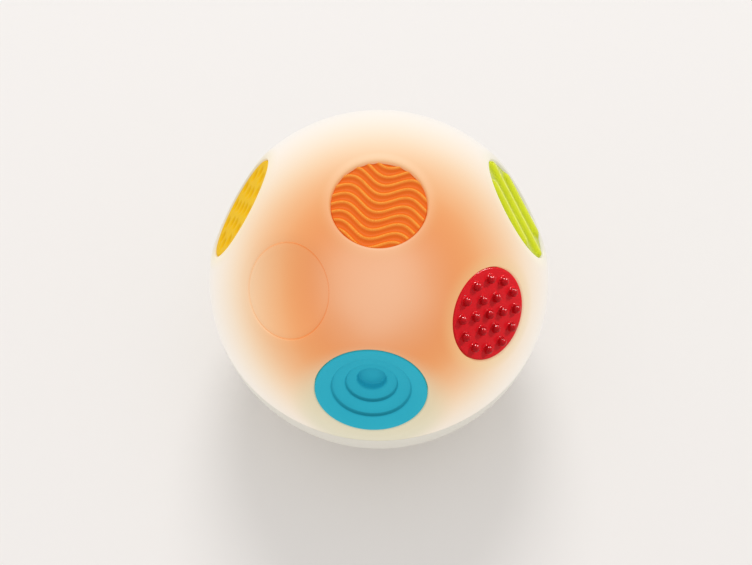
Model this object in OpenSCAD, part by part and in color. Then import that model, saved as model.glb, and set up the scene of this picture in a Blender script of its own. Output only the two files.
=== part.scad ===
// Sensory ball: two moulded half shells, five finger-texture discs, a press-to-light dish,
// and a lamp, motion switch and button-cell module standing on the flat foot.
// Millimetres. Z is up through the top disc, the front faces -Y, z = 0 is the foot.

/* [Ball] */
// Radius of the ball
ball_r = 60; // [58:0.5:66]
// Wall of both shells
wall_t = 2.4; // [2:0.1:2.8]
// Flat of the foot round the battery box
foot_margin = 5.4; // [5.4:0.1:8]
// Drop of the parting line below the ball's centre
seam_drop = 4; // [3.5:0.5:6]
// Open line between the halves
seam_gap = 0.3; // [0.2:0.1:0.6]
// Height of the lip that joins the halves
lip_h = 3; // [2:0.5:3]

/* [Discs] */
// Radius of the small discs
small_r = 16; // [14.5:0.5:16.5]
// Radius of the large discs
large_r = 19; // [18:0.5:19.5]
// Flat ring left round each disc
bezel_w = 2.6; // [2:0.1:3]
// Depth of a disc's seat below its flat
seat_d = 3.3; // [3:0.1:4]
// Gap round a disc in its seat
disc_fit = 0.2; // [0.1:0.05:0.3]
// Radius of the stud behind a disc
stud_r = 2.5; // [2:0.1:3.5]
// Radius of a push-on retainer
retainer_r = 6; // [5:0.5:9]
// Thickness of a retainer
retainer_t = 1; // [0.8:0.1:1.4]

/* [Textures] */
// Spacing of the wave ridges
wave_pitch = 3.4; // [3:0.1:4.5]
// Length of one wave
wave_length = 20; // [16:1:26]
// Height of a wave to each side
wave_swing = 2.2; // [1:0.1:2.6]
// Width of a wave ridge
wave_w = 1.9; // [1.4:0.1:2.3]
// Height of a wave ridge
wave_h = 1.3; // [0.8:0.1:1.6]
// Radius of a nub
nub_r = 1.6; // [1.2:0.1:2]
// Height of a nub
nub_h = 2.3; // [1.6:0.1:3]
// Spacing of the nub rings
nub_pitch = 6.1; // [5:0.1:6.2]
// Spacing of the raised ribs
rib_pitch = 12; // [10:0.5:13]
// Width of a raised rib
rib_w = 7; // [5:0.5:8]
// Height of a raised rib
rib_h = 1.2; // [1:0.1:2]
// Rise of the ribs above the flat
rib_proud = 0.6; // [0.2:0.1:0.9]
// Spacing of the dimple rings
dimple_pitch = 7; // [6:0.1:7.2]
// Radius of a dimple's mouth
dimple_r = 2.6; // [1.8:0.1:2.8]
// Depth of a dimple
dimple_d = 0.9; // [0.5:0.1:1.2]
// Depth of the stepped bowl
bowl_d = 8.5; // [7.5:0.1:9.5]
// Radius of the finger well in the bowl
well_r = 5; // [4.5:0.1:5.4]
// Wall of the stepped bowl
bowl_wall = 1.6; // [1.4:0.1:1.8]

/* [Light button] */
// Travel of the light button
button_travel = 2; // [1.5:0.1:2.2]
// Depth of the dish in the light button
dish_d = 1.8; // [1:0.1:2.2]
// Running gap round the light button
button_fit = 0.3; // [0.2:0.05:0.4]
// Wire of the return spring
spring_wire = 0.8; // [0.6:0.1:0.8]
// Turns of the return spring
spring_turns = 4; // [3:1:4]

/* [Base module] */
// Radius of a button cell
cell_r = 5.8; // [5.4:0.1:5.9]
// Height of a button cell
cell_h = 5.4; // [4.2:0.1:6]
// Wall of the battery box round the cells
box_margin = 5.7; // [5.6:0.1:6.4]
// Radius of the light diffuser, as a share of the ball's
diffuser_share = 0.35; // [0.32:0.01:0.4]
// Drop of the diffuser's centre below the ball's
lamp_drop = 15; // [11:1:19]
// Wall of the diffuser
diffuser_wall = 1.5; // [1.2:0.1:1.5]
// Travel of the power slider
slider_travel = 3; // [2:0.5:3]

/* [Hidden] */
// Places of the discs on the ball: compass angle from the front to the right, and elevation
wave_angles = [0, 90];
nub_angles = [52, 35];
bowl_angles = [-3, 22];
rib_angles = [108, 26];
dimple_angles = [-109, 24.5];
button_angles = [-51, 47];
// Turn of each texture in its seat
wave_turn = -15;
nub_turn = 22;
rib_turn = 27;
dimple_turn = 5;
// Distance of the wave crest from the disc's middle
wave_shift = 10.9;
// Offset of the middle wave ridge
wave_offset = -0.6;

// Cells side by side in a triangle, the box round them and the foot round the box
cell_fit = 0.2;
cell_ring = (cell_r + cell_fit) * 2 / sqrt(3);
box_r = cell_ring + cell_r + cell_fit + box_margin;
foot_r = box_r + foot_margin;

ball_z = sqrt(ball_r * ball_r - foot_r * foot_r);
inner_r = ball_r - wall_t;
seam_z = ball_z - seam_drop;
overrun = 2;
hair = 0.05;
slip = 0.1;
round_turn = 360;
quarter = 90;

// Seats
seat_wall = 1.4;
seat_floor = 1.6;
disc_sink = 0.3;
stud_fit = 0.15;
stud_end = 0.6;

// Wave ridges: points along a ridge, and each tier's width and height as shares of the ridge's
wave_steps = 28;
wave_tier_shares = [[1, 0.55], [0.62, 0.85], [0.3, 1]];

// Radius of a pin's domed top, as a share of the pin's radius
dome_share = 1.15;

// Stepped bowl, in shares of the disc radius and of the bowl depth
bowl_step_r_shares = [0.47, 0.715, 0.92];
bowl_step_top_shares = [0.68, 0.42, 0.14];
bowl_step_low_shares = [0.565, 0.295];
bowl_draft = 0.3;
bowl_round = 1.2;

// Light button
flange_w = 1.4;
flange_t = 1.4;
flange_gap = 0.2;
button_plate = 1.6;
button_lip = 3;
button_room = 8;
collar_t = 1.6;
frame_t = 1.8;
stem_r = 3;
stem_fit = 0.2;
sleeve_t = 1.4;
sleeve_h = 4;
spring_r = 8;
spring_steps = 16;
spring_sides = 6;
cup_r = 8;
cup_t = 1.5;
cup_h = 5.7;
board_t = 1.2;
switch_w = 6;
switch_h = 3.5;
plunger_r = 1.7;
plunger_up = 0.7;
plunger_down = 1.3;
plunger_travel = 0.25;
plunger_fit = 0.1;
lug_r = 2.4;
lug_turns = [45, 165, 285];
board_lug_turns = [0, 180];

// Screws
screw_r = 1.1;
screw_head_r = 2.1;
screw_head_h = 1.3;
screw_fit = 0.1;
small_screw_len = 4;

// Shell screws and their pillars
pillar_r = 3.8;
pillar_margin = 10;
pillar_turns = [72, -72, 180];
shell_screw_r = 1.4;
shell_screw_len = 12;
shell_head_r = 2.5;
shell_head_h = 1.9;
shell_head_fit = 0.4;
pillar_ledge = 3;

// Foot and battery box
floor_t = 2.4;
door_fit = 0.3;
door_sink = 0.3;
door_lap = 2.1;
door_screw_margin = 3.9;
door_screw_len = 6;
door_screw_turns = [90, 210, 330];
seal_w = 1.2;
seal_h = 0.8;
seal_margin = 1.7;
cell_gap = 0.8;
cell_rim_share = 0.8;
cell_cap_h = 0.4;
cell_turns = [30, 150, 270];
contact_t = 0.3;
contact_r_share = 0.6;
contact_bump_r = 1.6;
box_roof = 3.4;
spigot_h = 2.5;
spigot_t = 1.6;
post_r = 2.6;
post_h = 4.6;
post_margin = 3;
post_turns = [40, 140, 220, 320];
ear_t = 2;
box_screw_len = 5;
board_margin = 0.6;
main_board_t = 1.6;
main_screw_margin = 2.8;
main_screw_len = 2.4;
led_ring = 6.5;
led_r = 2.5;
led_flange_r = 2.9;
led_flange_h = 1;
led_h = 6;
led_turns = [90, 210, 330];
chip_w = 8;
chip_d = 4;
chip_h = 1.5;
chip_y = -9.2;
can_r = 2.4;
can_wall = 0.35;
can_len = 9;
can_y = 12;
header_t = 1;
motion_r = 1.4;
slide_w = 8;
slide_d = 3.4;
slide_h = 4;
slider_w = 3;
slider_d = 2;
slider_sink = 0.6;
slider_fit = 0.3;
tongue_w = 1.6;
tongue_d = 1.4;
tongue_h = 1.4;

// Leads inside the ball
lead_r = 0.8;
lead_sides = 8;
lead_step = 4;
lead_notch_r = 1.3;
lead_gap = 0.4;
lead_drop = 5;
lead_clear = 10;
lead_rise = 9;
lead_hop = 2;
lead_end = 1;
switch_lead_x = [-1.5, -3.6, -6.6];
switch_lead_turns = [116, 122.5];

small_facet_h = facet_h(small_r);
large_facet_h = facet_h(large_r);
slide_y = box_r + 2 * slip + slide_d / 2;
box_z = floor_t;
box_top = box_z + cell_gap + cell_h + contact_t + slip + box_roof;
well_top = box_top - box_roof;
shoulder_z = box_top - spigot_h;
spigot_r = box_r - spigot_t;
pillar_ring = ball_r - pillar_margin;
post_ring = box_r + post_margin;
door_r = box_r - door_lap;
door_screw_ring = door_r - door_screw_margin;
seal_ring = door_r - seal_margin;
main_board_r = spigot_r - board_margin;
main_screw_ring = main_board_r - main_screw_margin;
diffuser_r = ball_r * diffuser_share;
diffuser_z = ball_z - lamp_drop;
board_z = box_top;
board_top = board_z + main_board_t;
flange_r = small_r + flange_w;
counter_r = flange_r + button_fit;
collar_r = counter_r + collar_t;
button_top = -disc_sink;
button_under = button_top - dish_d - button_plate;
button_stop = -button_lip - flange_gap;
button_floor = -button_lip - button_room;
frame_under = button_floor - frame_t;
button_board_z = frame_under - cup_h;
switch_top = button_board_z + switch_h;
plunger_floor = switch_top - plunger_down - 2 * plunger_travel;
stem_tip = switch_top + plunger_up + button_travel - plunger_travel + hair;
lug_ring = collar_r + lug_r - overrun / 2;
board_lug_ring = cup_r + cup_t + lug_r - overrun / 2;
lip_out = ball_r - wall_t / 2 - slip;
bowl_out_r = large_r * bowl_step_r_shares[1] + bowl_wall;
bowl_in_r = large_r * bowl_step_r_shares[0] + bowl_wall;

// From the underside of the button's board, out past the diffuser and in through its notch
lead_start = small_facet_h + button_board_z - board_t - lead_gap;
lead_turn = button_angles[0] - quarter;
button_lead_route = [
    ball_point(button_angles, [0, 0, lead_start]),
    ball_point(button_angles, [0, 0, lead_start - lead_drop]),
    polar(diffuser_r + lead_clear, lead_turn, ball_z),
    polar(diffuser_r + lead_clear, lead_turn, diffuser_z),
    polar(box_r + lead_clear - lead_hop, lead_turn, board_top + lead_rise),
    polar(box_r + lead_hop, lead_turn, board_top + lead_hop),
    polar(main_board_r - lead_end, lead_turn, board_top + lead_r + slip)
];
// From the top of the power switch, up beside the box and in through the other notch
switch_lead_route = [
    [switch_lead_x[0], slide_y, floor_t + slide_h + lead_r + slip],
    [switch_lead_x[1], slide_y + slip, board_top - 2 * lead_hop],
    [switch_lead_x[2], slide_y - slip, board_top - lead_end],
    polar(box_r + hair, switch_lead_turns[0], board_top + lead_hop),
    polar(main_board_r - lead_end, switch_lead_turns[1], board_top + lead_r + slip)
];

milk = [0.97, 0.9, 0.82];
white = [0.95, 0.94, 0.92];
orange = [0.92, 0.46, 0.15];
red = [0.8, 0.15, 0.17];
blue = [0.18, 0.64, 0.74];
lime = [0.82, 0.85, 0.24];
yellow = [0.95, 0.76, 0.16];
steel = [0.75, 0.76, 0.78];
green = [0.1, 0.4, 0.2];
black = [0.1, 0.1, 0.11];

// Height of the flat that carries a disc of radius r
function facet_h(r) = sqrt(ball_r * ball_r - (r + bezel_w) * (r + bezel_w));

// A point at a radius and turn about the upright axis
function polar(r, turn, z) = [r * cos(turn), r * sin(turn), z];

// A point of a disc's own frame, in the ball's frame
function tipped(p, tip) = [p[0], p[1] * cos(tip) - p[2] * sin(tip), p[1] * sin(tip) + p[2] * cos(tip)];
function turned(p, turn) = [p[0] * cos(turn) - p[1] * sin(turn), p[0] * sin(turn) + p[1] * cos(turn), p[2]];
function ball_point(at, p) = turned(tipped(p, quarter - at[1]), at[0]) + [0, 0, ball_z];

// Puts children on the ball, their +Z outwards and +Y towards the top
module on_ball(at, h) {
    translate([0, 0, ball_z])
        rotate([0, 0, at[0]])
            rotate([quarter - at[1], 0, 0])
                translate([0, 0, h])
                    children();
}

// Repeats children on a ring
module around(turns, ring) {
    for (turn = turns)
        rotate([0, 0, turn])
            translate([ring, 0, 0])
                children();
}

// Children on one middle place and two rings of six and twelve
module on_rings(pitch) {
    children();
    around([for (i = [0:5]) i * round_turn / 6], pitch)
        children();
    around([for (i = [0:11]) i * round_turn / 12], 2 * pitch)
        children();
}

module rod(r, z0, z1) {
    translate([0, 0, z0])
        cylinder(r = r, h = z1 - z0, $fn = 64);
}

module tube(r_out, r_in, z0, z1) {
    difference() {
        rod(r_out, z0, z1);
        rod(r_in, z0 - overrun, z1 + overrun);
    }
}

// Pan-head screw, head above z = 0 and shank below
module screw(r, head_r, head_h, len) {
    rod(head_r, 0, head_h);
    rod(r, -len, hair);
}

function unit(v) = v / norm(v);
function path_dir(p, i) = unit(p[min(i + 1, len(p) - 1)] - p[max(i - 1, 0)]);
function side_dir(d) = unit(cross(d, abs(d[2]) < cos(quarter / 2) ? [0, 0, 1] : [1, 0, 0]));

// One closed tube of even sides along a path
module swept_tube(path, r, sides) {
    rings = [
        for (i = [0:len(path) - 1])
            let (d = path_dir(path, i), u = side_dir(d), v = cross(d, u))
                for (k = [0:sides - 1])
                    path[i] + r * (cos(k * round_turn / sides) * u + sin(k * round_turn / sides) * v)
    ];
    last = (len(path) - 1) * sides;
    skin = [
        for (i = [0:len(path) - 2], k = [0:sides - 1])
            let (a = i * sides + k, b = i * sides + (k + 1) % sides)
                each [[a, a + sides, b], [b, a + sides, b + sides]]
    ];
    ends = [
        for (k = [1:sides - 2])
            each [[0, k, k + 1], [last, last + k + 1, last + k]]
    ];
    polyhedron(rings, concat(skin, ends), convexity = 6);
}

// Smooth curve through a route's points
function curve_at(a, b, c, d, t) =
    (2 * b + (c - a) * t + (2 * a - 5 * b + 4 * c - d) * t * t + (3 * b - a - 3 * c + d) * t * t * t) / 2;
function smooth_path(p, step) = [
    for (i = [0:len(p) - 2])
        let (count = max(2, round(norm(p[i + 1] - p[i]) / step)))
            for (k = [0:count - (i == len(p) - 2 ? 0 : 1)])
                curve_at(p[max(i - 1, 0)], p[i], p[i + 1], p[min(i + 2, len(p) - 1)], k / count)
];

// Material left inside the upper shell for seats, collar, lugs and pillars
module upper_pads() {
    seat_pad(wave_angles, small_r, small_facet_h);
    seat_pad(nub_angles, small_r, small_facet_h);
    seat_pad(bowl_angles, large_r, large_facet_h);
    seat_pad(rib_angles, large_r, large_facet_h);
    seat_pad(dimple_angles, large_r, large_facet_h);
    on_ball(button_angles, small_facet_h) {
        rod(collar_r, button_floor, ball_r);
        around(lug_turns, lug_ring)
            rod(lug_r, button_floor, ball_r);
    }
    pillars(seam_z - overrun, ball_z + ball_r);
}

module seat_pad(at, r, h) {
    on_ball(at, h)
        rod(r + disc_fit + seat_wall, -seat_d - seat_floor, ball_r);
}

module seat_cut(at, r, h, hole_r) {
    on_ball(at, h) {
        rod(r + bezel_w + overrun, 0, ball_r);
        rod(r + disc_fit, -seat_d, overrun);
        rod(hole_r, -seat_d - seat_floor - overrun, 0);
    }
}

module pillars(z0, z1) {
    rotate([0, 0, -quarter])
        around(pillar_turns, pillar_ring)
            rod(pillar_r, z0, z1);
}

module upper_shell() {
    color(milk)
        difference() {
            intersection() {
                translate([0, 0, ball_z])
                    sphere(r = ball_r, $fn = 160);
                rod(ball_r + overrun, seam_z + seam_gap, ball_z + ball_r + overrun);
            }
            difference() {
                translate([0, 0, ball_z])
                    sphere(r = inner_r, $fn = 160);
                upper_pads();
            }
            tube(lip_out + slip, inner_r - overrun / 2, seam_z - overrun, seam_z + lip_h);
            seat_cut(wave_angles, small_r, small_facet_h, stud_r + stud_fit);
            seat_cut(nub_angles, small_r, small_facet_h, stud_r + stud_fit);
            seat_cut(bowl_angles, large_r, large_facet_h, bowl_out_r + disc_fit);
            seat_cut(rib_angles, large_r, large_facet_h, stud_r + stud_fit);
            seat_cut(dimple_angles, large_r, large_facet_h, stud_r + stud_fit);
            on_ball(button_angles, small_facet_h) {
                rod(small_r + bezel_w + overrun, 0, ball_r);
                rod(small_r + button_fit, -button_lip - hair, overrun);
                rod(counter_r, button_floor - overrun, -button_lip);
                around(lug_turns, lug_ring)
                    rod(screw_r + screw_fit, button_floor - overrun, button_floor + small_screw_len);
            }
            rotate([0, 0, -quarter])
                around(pillar_turns, pillar_ring)
                    rod(shell_screw_r + screw_fit, seam_z - overrun, seam_z + shell_screw_len);
        }
}

module lower_shell() {
    head_z = seam_z - pillar_ledge;
    color(white)
        difference() {
            union() {
                difference() {
                    intersection() {
                        translate([0, 0, ball_z])
                            sphere(r = ball_r, $fn = 160);
                        rod(ball_r + overrun, 0, seam_z);
                    }
                    difference() {
                        translate([0, 0, ball_z])
                            sphere(r = inner_r, $fn = 160);
                        rod(ball_r, -ball_r, floor_t);
                        pillars(0, seam_z + overrun);
                        around(post_turns, post_ring)
                            rod(post_r, 0, floor_t + post_h);
                    }
                }
                tube(lip_out, inner_r, seam_z - overrun, seam_z + lip_h);
            }
            rod(door_r + door_fit, -overrun, floor_t + overrun);
            around(post_turns, post_ring)
                rod(screw_r + screw_fit, floor_t, floor_t + post_h + overrun);
            slider_slot();
            rotate([0, 0, -quarter])
                around(pillar_turns, pillar_ring) {
                    rod(shell_head_r + shell_head_fit, -overrun, head_z);
                    rod(shell_screw_r + 2 * screw_fit, head_z - overrun, seam_z + overrun);
                }
        }
}

module slider_slot() {
    slot_w = slider_w + slider_travel + 2 * slider_fit;
    slot_d = slider_d + 2 * slider_fit;
    translate([-slider_w / 2 - slider_fit, slide_y - slot_d / 2, -overrun])
        cube([slot_w, slot_d, floor_t + 2 * overrun]);
}

// Disc with its back on the seat floor and a stud through it
module disc_body(r, sink) {
    rod(r, -seat_d, -sink);
    rod(stud_r, -seat_d - seat_floor - retainer_t - stud_end, -seat_d + hair);
}

// Crest line of one wave ridge
function wave_line(x, row) =
    [x, wave_offset + row * wave_pitch + wave_swing * cos((x + wave_shift) * round_turn / wave_length)];

// Outline of one wave ridge
function wave_outline(row, w) =
    let (
        reach = small_r + overrun,
        line = [for (i = [0:wave_steps]) wave_line(-reach + 2 * reach * i / wave_steps, row)],
        norms = [for (i = [0:wave_steps]) let (d = path_dir(line, i)) [-d[1], d[0]]]
    )
        concat(
            [for (i = [0:wave_steps]) line[i] + norms[i] * w / 2],
            [for (i = [wave_steps:-1:0]) line[i] - norms[i] * w / 2]
        );

// Wavy ridges in three tiers, each narrower than the one below, cut off by the disc's edge
module wave_disc() {
    rows = ceil((small_r + wave_swing) / wave_pitch);
    color(orange)
        on_ball(wave_angles, small_facet_h) {
            disc_body(small_r, wave_h);
            rotate([0, 0, wave_turn])
                for (tier = wave_tier_shares)
                    translate([0, 0, -wave_h - hair])
                        linear_extrude(height = wave_h * tier[1] + hair)
                            intersection() {
                                circle(r = small_r - hair, $fn = 96);
                                for (row = [-rows:rows])
                                    polygon(wave_outline(row, wave_w * tier[0]));
                            }
        }
}

// Round-topped pin, one profile turned about its axis
module dome_pin(r, h) {
    dome_r = dome_share * r;
    rotate_extrude($fn = 32)
        intersection() {
            translate([0, -hair])
                square([r, h + hair]);
            union() {
                translate([0, h - dome_r])
                    circle(r = dome_r, $fn = 48);
                translate([0, -overrun])
                    square([2 * r, overrun + h - dome_r]);
            }
        }
}

module nub_disc() {
    color(red)
        on_ball(nub_angles, small_facet_h) {
            disc_body(small_r, disc_sink);
            translate([0, 0, -disc_sink])
                rotate([0, 0, nub_turn])
                    on_rings(nub_pitch)
                        dome_pin(nub_r, nub_h);
        }
}

module step_bowl() {
    r = [for (share = bowl_step_r_shares) share * large_r];
    top = [for (share = bowl_step_top_shares) -share * bowl_d];
    low = [for (share = bowl_step_low_shares) -share * bowl_d];
    color(blue)
        on_ball(bowl_angles, large_facet_h)
            rotate_extrude($fn = 96)
                polygon([
                    [0, -bowl_d], [well_r - bowl_draft, -bowl_d], [well_r, top[0]],
                    [r[0] - bowl_draft, low[0]], [r[0], top[1]],
                    [r[1] - bowl_draft, low[1]], [r[1], top[2]],
                    [r[2], 0], [large_r - bowl_round, 0], [large_r - bowl_draft, -bowl_draft],
                    [large_r, -bowl_round],
                    [large_r, -seat_d], [bowl_out_r, -seat_d],
                    [bowl_out_r, -seat_d - seat_floor + hair], [bowl_in_r, -seat_d - seat_floor + hair],
                    [bowl_in_r, low[0] - bowl_wall], [well_r + bowl_wall, top[0] - bowl_wall],
                    [well_r + bowl_wall, -bowl_d - bowl_wall], [0, -bowl_d - bowl_wall]
                ]);
}

module rib_disc() {
    round_r = (rib_w * rib_w / 4 + rib_h * rib_h) / (2 * rib_h);
    face_z = rib_proud - rib_h;
    color(lime)
        on_ball(rib_angles, large_facet_h) {
            disc_body(large_r, -face_z);
            rotate([0, 0, rib_turn])
                intersection() {
                    for (row = [-1:1])
                        translate([-large_r, row * rib_pitch, rib_proud - round_r])
                            rotate([0, quarter, 0])
                                cylinder(r = round_r, h = 2 * large_r, $fn = 64);
                    rod(large_r - bowl_round, face_z - hair, rib_h);
                }
        }
}

module dimple_disc() {
    round_r = (dimple_r * dimple_r + dimple_d * dimple_d) / (2 * dimple_d);
    color(yellow)
        on_ball(dimple_angles, large_facet_h)
            difference() {
                disc_body(large_r, disc_sink);
                translate([0, 0, -disc_sink + round_r - dimple_d])
                    rotate([0, 0, dimple_turn])
                        on_rings(dimple_pitch)
                            sphere(r = round_r, $fn = 48);
            }
}

module light_button() {
    dish_r = small_r - bowl_round;
    round_r = (dish_r * dish_r + dish_d * dish_d) / (2 * dish_d);
    color(milk)
        on_ball(button_angles, small_facet_h) {
            difference() {
                union() {
                    rod(small_r, button_under, button_top);
                    rod(flange_r, button_stop - flange_t, button_stop);
                }
                translate([0, 0, button_top - dish_d + round_r])
                    sphere(r = round_r, $fn = 96);
                rod(small_r - button_plate, button_stop - flange_t - overrun, button_under);
            }
            rod(stem_r, stem_tip, button_under + hair);
        }
}

module button_frame() {
    color(white)
        on_ball(button_angles, small_facet_h)
            difference() {
                union() {
                    rod(collar_r, frame_under, button_floor);
                    around(lug_turns, lug_ring)
                        rod(lug_r, frame_under, button_floor);
                    rod(stem_r + stem_fit + sleeve_t, frame_under, button_floor + sleeve_h);
                    tube(cup_r + cup_t, cup_r, button_board_z, frame_under + hair);
                    around(board_lug_turns, board_lug_ring)
                        rod(lug_r, button_board_z, frame_under + hair);
                }
                rod(stem_r + stem_fit, frame_under - overrun, button_floor + sleeve_h + overrun);
                around(lug_turns, lug_ring)
                    rod(screw_r + screw_fit, frame_under - overrun, button_floor + overrun);
                around(board_lug_turns, board_lug_ring)
                    rod(screw_r + screw_fit, button_board_z - overrun, button_board_z + small_screw_len);
                rod(cup_r, button_board_z - overrun, frame_under);
            }
}

module button_spring() {
    wire_r = spring_wire / 2;
    z0 = button_floor + wire_r + slip;
    z1 = button_under - wire_r - slip;
    steps = spring_turns * spring_steps;
    path = [
        for (i = [0:steps])
            let (turn = i * round_turn / spring_steps)
                [spring_r * cos(turn), spring_r * sin(turn), z0 + (z1 - z0) * i / steps]
    ];
    color(steel)
        on_ball(button_angles, small_facet_h)
            swept_tube(path, wire_r, spring_sides);
}

module button_board() {
    color(green)
        on_ball(button_angles, small_facet_h)
            difference() {
                union() {
                    rod(cup_r + cup_t, button_board_z - board_t, button_board_z);
                    around(board_lug_turns, board_lug_ring)
                        rod(lug_r, button_board_z - board_t, button_board_z);
                }
                around(board_lug_turns, board_lug_ring)
                    rod(screw_r + screw_fit, button_board_z - board_t - overrun, button_board_z + overrun);
            }
}

module button_switch() {
    color(black)
        on_ball(button_angles, small_facet_h)
            difference() {
                translate([-switch_w / 2, -switch_w / 2, button_board_z])
                    cube([switch_w, switch_w, switch_h]);
                rod(plunger_r + plunger_fit, plunger_floor, switch_top + overrun);
            }
}

module switch_plunger() {
    color(white)
        on_ball(button_angles, small_facet_h)
            rod(plunger_r, switch_top - plunger_down, switch_top + plunger_up);
}

module button_screws() {
    color(steel)
        on_ball(button_angles, small_facet_h) {
            around(lug_turns, lug_ring)
                translate([0, 0, frame_under])
                    rotate([2 * quarter, 0, 0])
                        screw(screw_r, screw_head_r, screw_head_h, small_screw_len);
            around(board_lug_turns, board_lug_ring)
                translate([0, 0, button_board_z - board_t])
                    rotate([2 * quarter, 0, 0])
                        screw(screw_r, screw_head_r, screw_head_h, small_screw_len);
        }
}

// Push-on rings on the studs and round the bowl
module disc_retainers() {
    under = -seat_d - seat_floor;
    color(steel) {
        on_ball(wave_angles, small_facet_h)
            tube(retainer_r, stud_r + hair, under - retainer_t, under);
        on_ball(nub_angles, small_facet_h)
            tube(retainer_r, stud_r + hair, under - retainer_t, under);
        on_ball(rib_angles, large_facet_h)
            tube(retainer_r, stud_r + hair, under - retainer_t, under);
        on_ball(dimple_angles, large_facet_h)
            tube(retainer_r, stud_r + hair, under - retainer_t, under);
        on_ball(bowl_angles, large_facet_h)
            tube(large_r - bowl_round, bowl_in_r + hair, under - retainer_t, under);
    }
}

module shell_screws() {
    color(steel)
        rotate([0, 0, -quarter])
            around(pillar_turns, pillar_ring)
                translate([0, 0, seam_z - pillar_ledge])
                    rotate([2 * quarter, 0, 0])
                        screw(shell_screw_r, shell_head_r, shell_head_h, shell_screw_len);
}

module battery_box() {
    ear_z = floor_t + post_h;
    color(white)
        difference() {
            union() {
                rod(box_r, box_z, shoulder_z);
                rod(spigot_r, box_z, box_top);
                around(post_turns, post_ring)
                    rod(post_r, ear_z, ear_z + ear_t);
                around(post_turns, 0)
                    translate([0, -post_r, ear_z])
                        cube([post_ring, 2 * post_r, ear_t]);
            }
            around(cell_turns, cell_ring)
                rod(cell_r + cell_fit, box_z - overrun, well_top);
            around(door_screw_turns, door_screw_ring)
                rod(screw_r + screw_fit, box_z - overrun, box_z + door_screw_len);
            around(post_turns, post_ring)
                rod(screw_r + screw_fit, ear_z - overrun, ear_z + ear_t + overrun);
            around(cell_turns, main_screw_ring)
                rod(screw_r + screw_fit, box_top - main_screw_len - hair, box_top + overrun);
            tube(seal_ring + seal_w + hair, seal_ring - hair, box_z - overrun, box_z + seal_h);
        }
}

module battery_door() {
    color(white)
        difference() {
            rod(door_r, door_sink, floor_t);
            around(door_screw_turns, door_screw_ring) {
                rod(screw_r + 2 * screw_fit, 0, floor_t + overrun);
                rod(screw_head_r + 2 * screw_fit, -overrun, screw_head_h + slip);
            }
        }
}

module door_seal() {
    color(black)
        tube(seal_ring + seal_w, seal_ring, box_z, box_z + seal_h);
}

module door_screws() {
    color(steel)
        around(door_screw_turns, door_screw_ring)
            translate([0, 0, screw_head_h + slip])
                rotate([2 * quarter, 0, 0])
                    screw(screw_r, screw_head_r, screw_head_h, door_screw_len);
}

// Sprung contact under each cell, a plate with a raised bump
module door_contacts() {
    color(steel)
        around(cell_turns, cell_ring) {
            rod(cell_r * contact_r_share, floor_t, floor_t + contact_t);
            rod(contact_bump_r, floor_t, floor_t + cell_gap - hair);
        }
}

module cell_contacts() {
    color(steel)
        around(cell_turns, cell_ring)
            rod(cell_r * contact_r_share, well_top - contact_t, well_top);
}

module button_cells() {
    cell_z = box_z + cell_gap;
    color(steel)
        around(cell_turns, cell_ring) {
            rod(cell_r * cell_rim_share, cell_z, cell_z + cell_cap_h + hair);
            rod(cell_r, cell_z + cell_cap_h, cell_z + cell_h);
        }
}

module main_board() {
    color(green)
        difference() {
            rod(main_board_r, board_z, board_top);
            around(cell_turns, main_screw_ring)
                rod(screw_r + screw_fit, board_z - overrun, board_top + overrun);
        }
}

module controller_chip() {
    color(black)
        translate([-chip_w / 2, chip_y - chip_d / 2, board_top])
            cube([chip_w, chip_d, chip_h]);
}

module light_leds() {
    color(white)
        around(led_turns, led_ring)
            translate([0, 0, board_top]) {
                rod(led_flange_r, 0, led_flange_h);
                translate([0, 0, led_flange_h])
                    dome_pin(led_r, led_h);
            }
}

// Bullet-shaped lamp cover, pushed over the box's spigot
module light_diffuser() {
    color(milk)
        difference() {
            rotate_extrude($fn = 96)
                difference() {
                    diffuser_outline(0);
                    diffuser_outline(diffuser_wall);
                }
            lead_notch(button_lead_route[len(button_lead_route) - 2]);
            lead_notch(switch_lead_route[len(switch_lead_route) - 2]);
        }
}

module diffuser_outline(inset) {
    r = diffuser_r - inset;
    start = inset > 0 ? shoulder_z - overrun : shoulder_z;
    intersection() {
        union() {
            translate([0, diffuser_z])
                circle(r = r, $fn = 96);
            polygon([
                [0, start], [box_r - inset, start], [box_r - inset, board_top],
                [r, diffuser_z], [0, diffuser_z]
            ]);
        }
        square([ball_r, 2 * ball_r]);
    }
}

// Round opening for a lead, along the line from the axis through a point
module lead_notch(at) {
    translate([0, 0, at[2]])
        rotate([0, 0, atan2(at[1], at[0])])
            rotate([0, quarter, 0])
                cylinder(r = lead_r + lead_notch_r, h = ball_r, $fn = 32);
}

// Motion switch lying on the board, its loose ball rolling along X
module motion_can() {
    color(steel)
        translate([0, can_y, board_top + can_r])
            rotate([0, quarter, 0])
                difference() {
                    rod(can_r, -can_len / 2, can_len / 2);
                    rod(can_r - can_wall, -can_len / 2 + can_wall, can_len / 2 + overrun);
                }
}

module motion_header() {
    color(black)
        translate([0, can_y, board_top + can_r])
            rotate([0, quarter, 0])
                rod(can_r - can_wall - hair, can_len / 2 - header_t, can_len / 2);
}

module motion_ball() {
    color(steel)
        translate([0, can_y, board_top + can_wall + hair + motion_r])
            sphere(r = motion_r, $fn = 48);
}

module board_screws() {
    color(steel)
        around(cell_turns, main_screw_ring)
            translate([0, 0, board_top])
                screw(screw_r, screw_head_r, screw_head_h, main_board_t + main_screw_len);
}

module box_screws() {
    color(steel)
        around(post_turns, post_ring)
            translate([0, 0, floor_t + post_h + ear_t])
                screw(screw_r, screw_head_r, screw_head_h, box_screw_len);
}

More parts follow.
